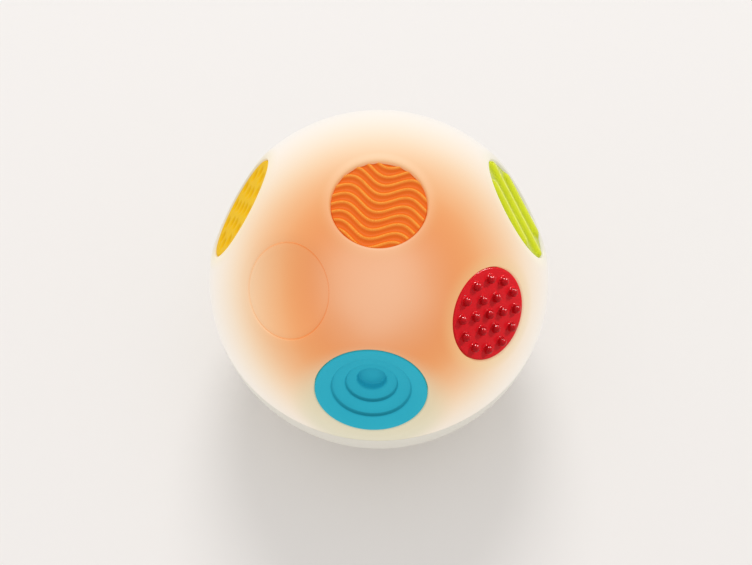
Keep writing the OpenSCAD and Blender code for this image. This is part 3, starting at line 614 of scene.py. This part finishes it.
# painted shade on each nub's upper part
paintedShadeValues(nubOne, lambda at: min(max(at.z / (nub["paintedShadeFrom"] * nub["height"]), 0.0), 1.0))
spots = ringPoints(nub["pitch"], nub["turn"], -seats["sink"])
nubSpots = pattern("nubSpots", spots, turns=[(0, 0, 0)] * len(spots))
nubPlate = [(0, -seats["sink"]), (seats["small"], -seats["sink"]), (seats["small"], -seats["depth"]),
            (stud["radius"], -seats["depth"]), (stud["radius"], studTip), (0, studTip)]
nubDisc = newObject("nubDisc", turnedShape(eased(nubPlate, nub["edge"])), nubRed)
growWith(nubDisc, setTree, {"Pattern": nubSpots, "Piece": nubOne, "Material": nubRed})
settle(nubDisc, onBall("nub"), "ball", ["nub_disc"], sharpAngle=50)
discard(nubSpots, nubOne)

# blue disc, stepped bowl with a finger well
bowl = {"depth": 8.5, "well": 5.0, "wall": 1.6, "wellTop": 0.68, "rim": 0.92, "draft": 0.3, "soft": 0.7,
        "softSteps": 5, "edge": (0.3, 0.5), "underGap": 0.05,
        "steps": [(0.47, 0.42, 0.565), (0.715, 0.14, 0.295)],  # shares: radius, top and foot of each wall
        "shadeReach": 1.6, "shadeTurn": 1.5, "shadeTop": 0.05, "hair": 0.01}  # shade at a wall's foot
big, deep = seats["large"], bowl["depth"]
inR, outR = [across * big + bowl["wall"] for across, top, foot in bowl["steps"]]
wellR, wellZ = bowl["well"] + bowl["wall"], bowl["wellTop"] * deep
floorZ = -seats["depth"] - seats["floor"] + bowl["underGap"]
line = [(0, -deep), (bowl["well"] - bowl["draft"], -deep), (bowl["well"], -wellZ)]
for across, top, foot in bowl["steps"]:
    line += [(across * big - bowl["draft"], -foot * deep), (across * big, -top * deep)]
line += [(bowl["rim"] * big, 0), (big - bowl["edge"][0], 0), (big, -bowl["edge"][1])]
line += [(big, -seats["depth"]), (outR, -seats["depth"]), (outR, floorZ), (inR, floorZ)]  # the underside
line += [(inR, -bowl["steps"][0][2] * deep - bowl["wall"]), (wellR, -wellZ - bowl["wall"]),
         (wellR, -deep - bowl["wall"]), (0, -deep - bowl["wall"])]


# painted shade: the foot of each step wall on the bowl's lower side is painted darker, as if little light got
# down there
def paintedFootShade(at):  # little light gets down to the foot of a step wall on the bowl's lower side
    r = math.hypot(at.x, at.y)
    lower = ((1 - at.y / max(r, tiny)) / 2) ** bowl["shadeTurn"]
    shade = 0.0
    for across, top, foot in bowl["steps"]:
        onWall = -foot * deep - bowl["hair"] <= at.z < -top * deep - bowl["shadeTop"]
        if onWall and r < across * big + bowl["hair"]:
            shade = max(shade, 1 - abs(across * big - r) / bowl["shadeReach"])
    return lower * shade


bowlShape = turnedShape(eased(line, bowl["soft"], bowl["softSteps"]))
stepBowl = newObject("stepBowl", bowlShape, finish["blueRubber"])
paintedShadeValues(stepBowl, paintedFootShade)
settle(stepBowl, onBall("bowl"), "ball", ["step_bowl"], sharpAngle=70)

# lime disc, three long ribs, their tops painted paler as a painted highlight
rib = {"pitch": 12.0, "reach": 3.5, "height": 1.2, "proud": 0.6, "turn": 27, "inset": 2.4, "sideInset": 1.2,
       "fullness": 1.6, "crest": (0.0, 1.0), "edge": 0.9, "grid": 120,
       "finish": "limeRubber", "slot": "lime_rubber", "node": "rib_disc"}
ribFace = rib["proud"] - rib["height"]
ends, joins = [], []
for row in (-1, 0, 1):
    y = row * rib["pitch"]
    half = math.sqrt((big - rib["inset"]) ** 2 - y * y) - abs(row) * rib["sideInset"]
    ends += [spun(x, y, ribFace, rib["turn"]) for x in (-half, half)]
    joins.append((len(ends) - 2, len(ends) - 1))
ribDisc = raisedDisc("ribDisc", "rib", pattern("ribLines", ends, joins), ribFace, rib["height"], rib)

# yellow disc, round dimples, each sunk round a very short line and painted deeper yellow inside as a painted
# shade
dimple = {"pitch": 7.0, "reach": 2.9, "depth": 0.9, "turn": 5, "dash": 0.01,
          "fullness": 1.2, "crest": (0.0, 1.0), "edge": 0.9, "grid": 120,
          "finish": "yellowRubber", "slot": "yellow_rubber", "node": "dimple_disc"}
dashes = []
for x, y, z in ringPoints(dimple["pitch"], dimple["turn"], -seats["sink"]):
    dashes += [(x, y, z), (x + dimple["dash"], y, z)]
dimpleSpots = pattern("dimpleSpots", dashes, [(k, k + 1) for k in range(0, len(dashes), 2)])
raisedDisc("dimpleDisc", "dimple", dimpleSpots, -seats["sink"], -dimple["depth"], dimple)

# light button, a shallow dish on a flanged cup with a stem
dish = {"depth": 1.8, "rim": 1.2, "plate": 1.6, "lip": 3.0, "flange": 17.4, "flangeGap": 0.2, "flangeT": 1.4,
        "stem": 3.0, "stemTip": -12.46, "soft": 0.5, "hollowSteps": 16, "travel": 2.0, "fit": 0.3,
        "well": 11.0}
dishR = seats["small"] - dish["rim"]
bend = (dishR ** 2 + dish["depth"] ** 2) / (2 * dish["depth"])
topZ = -seats["sink"]
hollow = []
for k in range(dish["hollowSteps"] + 1):
    r = dishR * k / dish["hollowSteps"]
    hollow.append((r, topZ - dish["depth"] + bend - math.sqrt(bend ** 2 - r ** 2)))
underZ = topZ - dish["depth"] - dish["plate"]
stopZ = -dish["lip"] - dish["flangeGap"]
skirtZ = stopZ - dish["flangeT"]
cupR = seats["small"] - dish["plate"]
skirt = [hollow[-1], (seats["small"], topZ), (seats["small"], stopZ), (dish["flange"], stopZ),
         (dish["flange"], skirtZ), (cupR, skirtZ), (cupR, underZ), (dish["stem"], underZ),
         (dish["stem"], dish["stemTip"]), (0, dish["stemTip"])]
buttonShape = turnedShape(hollow + eased(skirt, dish["soft"])[1:])
lightButton = newObject("lightButton", buttonShape, finish["milkyPolypropylene"])
settle(lightButton, onBall("button"), "button", ["light_button"], sharpAngle=60)
print("discs and button made")

# upper shell: one skin over the ball with soft-edged flats and a well for each disc, then given its wall
skin = {"spacing": 1.9, "spokes": 112, "blend": 0.55,  # between points, points round a flat, its soft edge
        "softRings": (-2.0, -1.2, -0.4, 0.4, 1.2, 2.0),  # rings of points each side of a flat's edge
        "flatClear": 3.0, "flatStretch": 1.015,  # how far the even cover stays from a flat's edge
        "nearFlat": 0.5,  # cosine of the angle beyond which a flat has no effect
        "lip": 0.45, "lipTurns": (0.5, 1.0, math.pi / 2),  # soft rim of a well, and radians round it
        "holeShare": 0.97, "wellWall": 0.62,  # share of the rim that is cut away, of the wall that a well has
        "seamPoints": 240, "seamRow": 0.012, "seamClear": 0.03, "merge": 1e-7}  # seam rows in radians
outwards = {key: (onBall(key, 0).to_3x3() @ Vector((0, 0, 1))) for key in places}
wellRadius = {key: discRadius(key) + (dish["fit"] if key == "button" else seats["fit"]) for key in places}


def skinRadius(way):  # the ball, flattened at each seat with an eased edge
    r = ball["radius"]
    for key, out in outwards.items():
        lean = way.dot(out)
        if lean > skin["nearFlat"]:
            flat = facetHeight(key) / lean
            gap = max(skin["blend"] - abs(r - flat), 0) / skin["blend"]
            r = min(r, flat) - gap * gap * skin["blend"] / 4
    return r


def flatten(way):  # a direction as a point on the sheet that is cut into triangles
    lean = math.acos(max(-1, min(1, way.z)))
    flat = way.xy
    return flat.normalized() * lean if flat.length > tiny else Vector((0, 0))


def closedLoop(first, count):  # edges that join points into a ring
    return [(first + k, first + (k + 1) % count) for k in range(count)]


def clearOfFlats(way):
    for key, out in outwards.items():
        edge = math.asin((discRadius(key) + seats["bezel"]) / ball["radius"])
        if (way.angle(out) - skin["flatStretch"] * edge) * ball["radius"] <= skin["flatClear"]:
            return False
    return True


ways, cuts, rims = [], [], {}  # directions from the centre, edges that stay, the rim of each well
for key in places:
    turn = onBall(key, 0).to_3x3()
    rings = [wellRadius[key] + skin["lip"]]
    rings += [discRadius(key) + seats["bezel"] + off for off in skin["softRings"]]
    rims[key] = range(len(ways), len(ways) + skin["spokes"])
    cuts += closedLoop(len(ways), skin["spokes"])
    for number, ring in enumerate(rings):
        for k in range(skin["spokes"]):
            half = 0.5 * (number % 2)  # every second ring is half a step round
            at = polar(ring, 360 * (k + half) / skin["spokes"], facetHeight(key))
            ways.append((turn @ Vector(at)).normalized())
lowest = math.acos((ball["seamGap"] - ball["seamDrop"]) / ball["radius"])
cuts += closedLoop(len(ways), skin["seamPoints"])
for lean in (lowest, lowest - skin["seamRow"]):
    for k in range(skin["seamPoints"]):
        ways.append(Vector(polar(math.sin(lean), 360 * k / skin["seamPoints"], math.cos(lean))))
total = int(4 * math.pi * ball["radius"] ** 2 / (skin["spacing"] ** 2))
for k in range(total):  # even cover of the rest, along a spiral with the golden angle
    z = 1 - 2 * (k + 0.5) / total
    a = k * math.pi * (3 - math.sqrt(5))
    way = Vector((math.sqrt(1 - z * z) * math.cos(a), math.sqrt(1 - z * z) * math.sin(a), z))
    if math.acos(z) <= lowest - skin["seamClear"] and clearOfFlats(way):
        ways.append(way)

flatWays = [flatten(way) for way in ways]
_, _, faces, sources, _, _ = delaunay_2d_cdt(flatWays, cuts, [], 0, skin["merge"], True)
sheet = bmesh.new()
wallShare = sheet.verts.layers.deform.verify()
verts, vertOf = [], {}  # by number on the sheet, and by the direction it came from
for origins in sources:
    way = ways[origins[0]]
    vert = sheet.verts.new(way * skinRadius(way) + Vector((0, 0, ballZ)))
    vert[wallShare][0] = 1.0
    verts.append(vert)
    vertOf.update({origin: vert for origin in origins})
holes = {}
for key in places:
    holes[key] = math.atan((wellRadius[key] + skin["lip"] * skin["holeShare"]) / facetHeight(key))
for corners in faces:
    middle = sum((ways[sources[c][0]] for c in corners), Vector()).normalized()
    if all(middle.angle(outwards[key]) > hole for key, hole in holes.items()):
        sheet.faces.new([verts[c] for c in corners])
for key in places:  # wells down from each rim
    r, lip = wellRadius[key], skin["lip"]
    down = [(r + lip * (1 - math.sin(a)), -lip * (1 - math.cos(a))) for a in skin["lipTurns"]]
    if key == "button":
        flangeWell = dish["flange"] + dish["fit"]
        down += [(r, -dish["lip"]), (flangeWell, -dish["lip"]), (flangeWell, -dish["well"])]
    else:
        bore = outR + seats["fit"] if key == "bowl" else stud["radius"] + stud["fit"]
        down += [(r, -seats["depth"]), (bore, -seats["depth"])]
    loop = [vertOf[n] for n in rims[key]]
    for ringR, z in down:
        ring = []
        for k in range(skin["spokes"]):
            vert = sheet.verts.new(onBall(key) @ Vector(polar(ringR, 360 * k / skin["spokes"], z)))
            vert[wallShare][0] = skin["wellWall"]
            ring.append(vert)
        joinRings(sheet, loop, ring)
        loop = ring
bmesh.ops.recalc_face_normals(sheet, faces=sheet.faces)
upperShell = newObject("upperShell", sheet, finish["milkyPolypropylene"])
upperShell.vertex_groups.new(name="wallShare")
if sum(p.normal.dot(p.center - Vector((0, 0, ballZ))) * p.area for p in upperShell.data.polygons) < 0:
    upperShell.data.flip_normals()
wall = upperShell.modifiers.new("wall", "SOLIDIFY")
wall.thickness = ball["wall"]
wall.offset = -1
wall.vertex_group = "wallShare"
wall.use_even_offset = True
bakeModifiers(upperShell)
settle(upperShell, Matrix.Identity(4), "ball", ["upper_shell"], sharpAngle=40)
print("upper shell made,", len(upperShell.data.polygons), "faces")

# return spring under the button: end coils closed, open coils between
coil = {"radius": 8.0, "wire": 0.4, "low": -10.0, "high": -4.2, "turns": 4.5, "closed": 0.75, "steps": 36,
        "sides": 14}
count = int(coil["turns"] * coil["steps"])
openTurns = coil["turns"] - 2 * coil["closed"]
endRise = 2 * coil["wire"] * coil["closed"]
openRise = coil["high"] - coil["low"] - 2 * endRise
helix = []
for k in range(count + 1):
    turns = k / coil["steps"]
    if turns < coil["closed"]:
        z = coil["low"] + 2 * coil["wire"] * turns
    elif turns > coil["turns"] - coil["closed"]:
        z = coil["high"] - 2 * coil["wire"] * (coil["turns"] - turns)
    else:
        z = coil["low"] + endRise + openRise * (turns - coil["closed"]) / openTurns
    helix.append(polar(coil["radius"], 360 * turns, z))
buttonSpring = pattern("buttonSpring", helix, chain(len(helix)))
growWith(buttonSpring, tubeTree, {
    "Radius": coil["wire"], "Sides": coil["sides"], "Material": finish["springSteel"]})
settle(buttonSpring, onBall("button"), "ball", ["button_spring"])
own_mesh(buttonSpring)

# leads, clipped at both ends
lead = {"radius": 0.8, "bend": 2.5, "bendSteps": 8, "sides": 16, "turn": -141.0}
leadRoutes = {  # the bends of each, as x, y and z or as radius, turn and height
    "buttonLead": ("button_lead", [
        onBall("button", 36.95).translation, onBall("button", 31.95).translation,
        polar(31, lead["turn"], ballZ), polar(31, lead["turn"], 39.98), polar(26.63, lead["turn"], 23),
        polar(20.63, lead["turn"], 16), polar(15.43, lead["turn"], 14.9)]),
    "switchLead": ("switch_lead", [
        (-1.5, 20.53, 7.3), (-3.6, 20.63, 10), (-6.6, 20.43, 13), polar(18.68, 116, 16),
        polar(15.43, 122.5, 14.9)]),
}
for name, (node, route) in leadRoutes.items():
    run = eased(route, lead["bend"], lead["bendSteps"])
    piece = pattern(name, run, chain(len(run)))
    growWith(piece, tubeTree, {
        "Radius": lead["radius"], "Sides": lead["sides"], "Material": finish["blackSiliconeRubber"]})
    settle(piece, Matrix.Identity(4), "ball", [node])

# cross-recess screws: one of each size, set at its places
screw = {"small": (1.1, 2.1, 1.3), "shell": (1.4, 2.5, 1.9),  # radius of thread and head, height of head
         "headTop": (0.6, 0.4), "neck": 0.9,  # shares: the head's flat, its edge and its neck
         "headSoft": 0.4, "softSteps": 3,
         "thread": 0.9, "threadFrom": 0.4, "root": 0.78, "tip": 0.6, "sides": 28,  # thread, drawn as rings
         "slotLong": 0.6, "slotThin": 0.15, "slotTop": 1.3, "slotTaper": 0.55,
         "slots": ((0.3, 0), (0.36, 90))}  # height of each slot's bottom as a share of the head, and its turn


def crossSlot(head, tall, bottom, turn):
    cutter = bmesh.new()
    for z, spread in ((tall * screw["slotTop"], 1.0), (tall * bottom, screw["slotTaper"])):
        for a in (-1, 1):
            for b in (-1, 1):
                x, y = a * head * screw["slotLong"] * spread, b * head * screw["slotThin"] * spread
                cutter.verts.new(Matrix.Rotation(math.radians(turn), 3, "Z") @ Vector((x, y, z)))
    bmesh.ops.convex_hull(cutter, input=cutter.verts)
    return newObject("crossSlot", cutter, finish["zincPlatedSteel"])


def screwOne(kind, long):
    crest, head, tall = screw[kind]
    flat, edge = screw["headTop"]
    outline = [(0, tall), (head * flat, tall), (head, tall * edge), (head, 0), (crest * screw["neck"], 0)]
    profile = eased(outline, screw["headSoft"], screw["softSteps"])
    root = crest * screw["root"]
    z = -screw["threadFrom"]
    while z > screw["thread"] - long:
        profile += [(root, z), (crest, z - screw["thread"] / 2)]
        z -= screw["thread"]
    profile += [(root, z), (crest * screw["tip"], -long), (0, -long)]
    made = newObject("screwOne", turnedShape(profile, screw["sides"]), finish["zincPlatedSteel"])
    slots = [crossSlot(head, tall, bottom, turn) for bottom, turn in screw["slots"]]
    for slot in slots:
        cut = made.modifiers.new("slot", "BOOLEAN")
        cut.operation = "DIFFERENCE"
        cut.solver = "MANIFOLD"
        cut.object = slot
    bakeModifiers(made)
    discard(*slots)
    return made


headDown, headUp = (math.pi, 0.0, 0.0), (0.0, 0.0, 0.0)
screwSets = {  # node, size, shank, way the head faces, rings of places (radius, turns, height), seat, body
    "doorScrews": ("door_screws", "small", 6.0, headDown, [(12.628, (90, 210, 330), 1.4)], None, "door"),
    "boardScrews": ("board_screws", "small", 4.0, headUp, [(13.628, (30, 150, 270), 14.0)], None, "ball"),
    "boxScrews": ("box_screws", "small", 5.0, headUp, [(21.628, (40, 140, 220, 320), 9.0)], None, "ball"),
    "shellScrews": ("shell_screws", "shell", 12.0, headDown,
                    [(50, (-18, -162, 90), seamZ - ball["lugDrop"])], None, "ball"),
    "buttonScrews": ("button_screws", "small", 4.0, headDown,
                     [(20.7, (45, 165, 285), -12.8), (10.9, (0, 180), -19.7)], "button", "ball"),
}
for name, (node, kind, long, facing, rings, seat, body) in screwSets.items():
    spots = [polar(radius, turn, z) for radius, turns, z in rings for turn in turns]
    single = screwOne(kind, long)
    spread = pattern("screwSpots", spots, turns=[facing] * len(spots))
    piece = newObject(name, bmesh.new(), finish["zincPlatedSteel"])
    growWith(piece, setTree, {"Pattern": spread, "Piece": single, "Material": finish["zincPlatedSteel"]})
    settle(piece, onBall(seat) if seat else Matrix.Identity(4), body, [node], sharpAngle=40)
    discard(spread, single)
print("spring, leads and screws made")

# floor and soft studio light, metres and watts
studio = {"floorHalf": 20.0, "floorDrop": 0.0003, "floorColour": "F0ECE9", "floorRough": 0.9, "room": 0.8}
half, low = studio["floorHalf"], -studio["floorDrop"]
floorMesh = bpy.data.meshes.new("floor")
floorMesh.from_pydata([(-half, -half, low), (half, -half, low), (half, half, low), (-half, half, low)], [],
                      [(0, 1, 2, 3)])
floor = intoScene("floor", floorMesh)
floorMat, _, floorShader = newMaterial("palePaper")  # paper, rolled: matt, so a soft shadow and no shine
floorShader.inputs["Base Color"].default_value = hexColour(studio["floorColour"])
floorShader.inputs["Roughness"].default_value = studio["floorRough"]
floorMesh.materials.append(floorMat)

world = bpy.data.worlds.new("softRoom")
bpy.context.scene.world = world
world.use_nodes = True
room = world.node_tree.nodes["Background"]
room.inputs["Color"].default_value = (1, 1, 1, 1)
room.inputs["Strength"].default_value = studio["room"]


def softLight(name, place, size, power):
    lightData = bpy.data.lights.new(name, "AREA")
    lightData.shape = "DISK"
    lightData.size = size
    lightData.energy = power
    light = intoScene(name, lightData)
    light.location = place
    aim = Vector((0, 0, ballZ * mm)) - Vector(place)
    light.rotation_euler = aim.to_track_quat("-Z", "Y").to_euler()
    return light


softLight("keyLight", (0.0, 1.5, 1.8), 1.0, 17.0)
discLamps = {  # place, size, power, the one disc it lights, and whether it gives glints or shade
    "nubGlintMiddle": ((0.0, 0.534, 0.902), 0.42, 44.0, nubDisc, "glints"),
    "nubGlintRight": ((0.75, 0.418, 0.568), 0.42, 26.0, nubDisc, "glints"),
    "nubShade": ((0.8, 0.35, 0.55), 0.2, 6.0, nubDisc, "shade"),
    "ribGlint": ((0.0, 0.534, 0.902), 0.42, 90.0, ribDisc, "glints"),
}
for name, (place, size, power, disc, gives) in discLamps.items():
    lamp = softLight(name, place, size, power)
    lamp.visible_diffuse = gives == "shade"
    lamp.visible_glossy = gives == "glints"
    lamp.light_linking.receiver_collection = bpy.data.collections.new(name)
    lamp.light_linking.receiver_collection.objects.link(disc)
bpy.context.scene.view_settings.view_transform = "Standard"
print("light set")
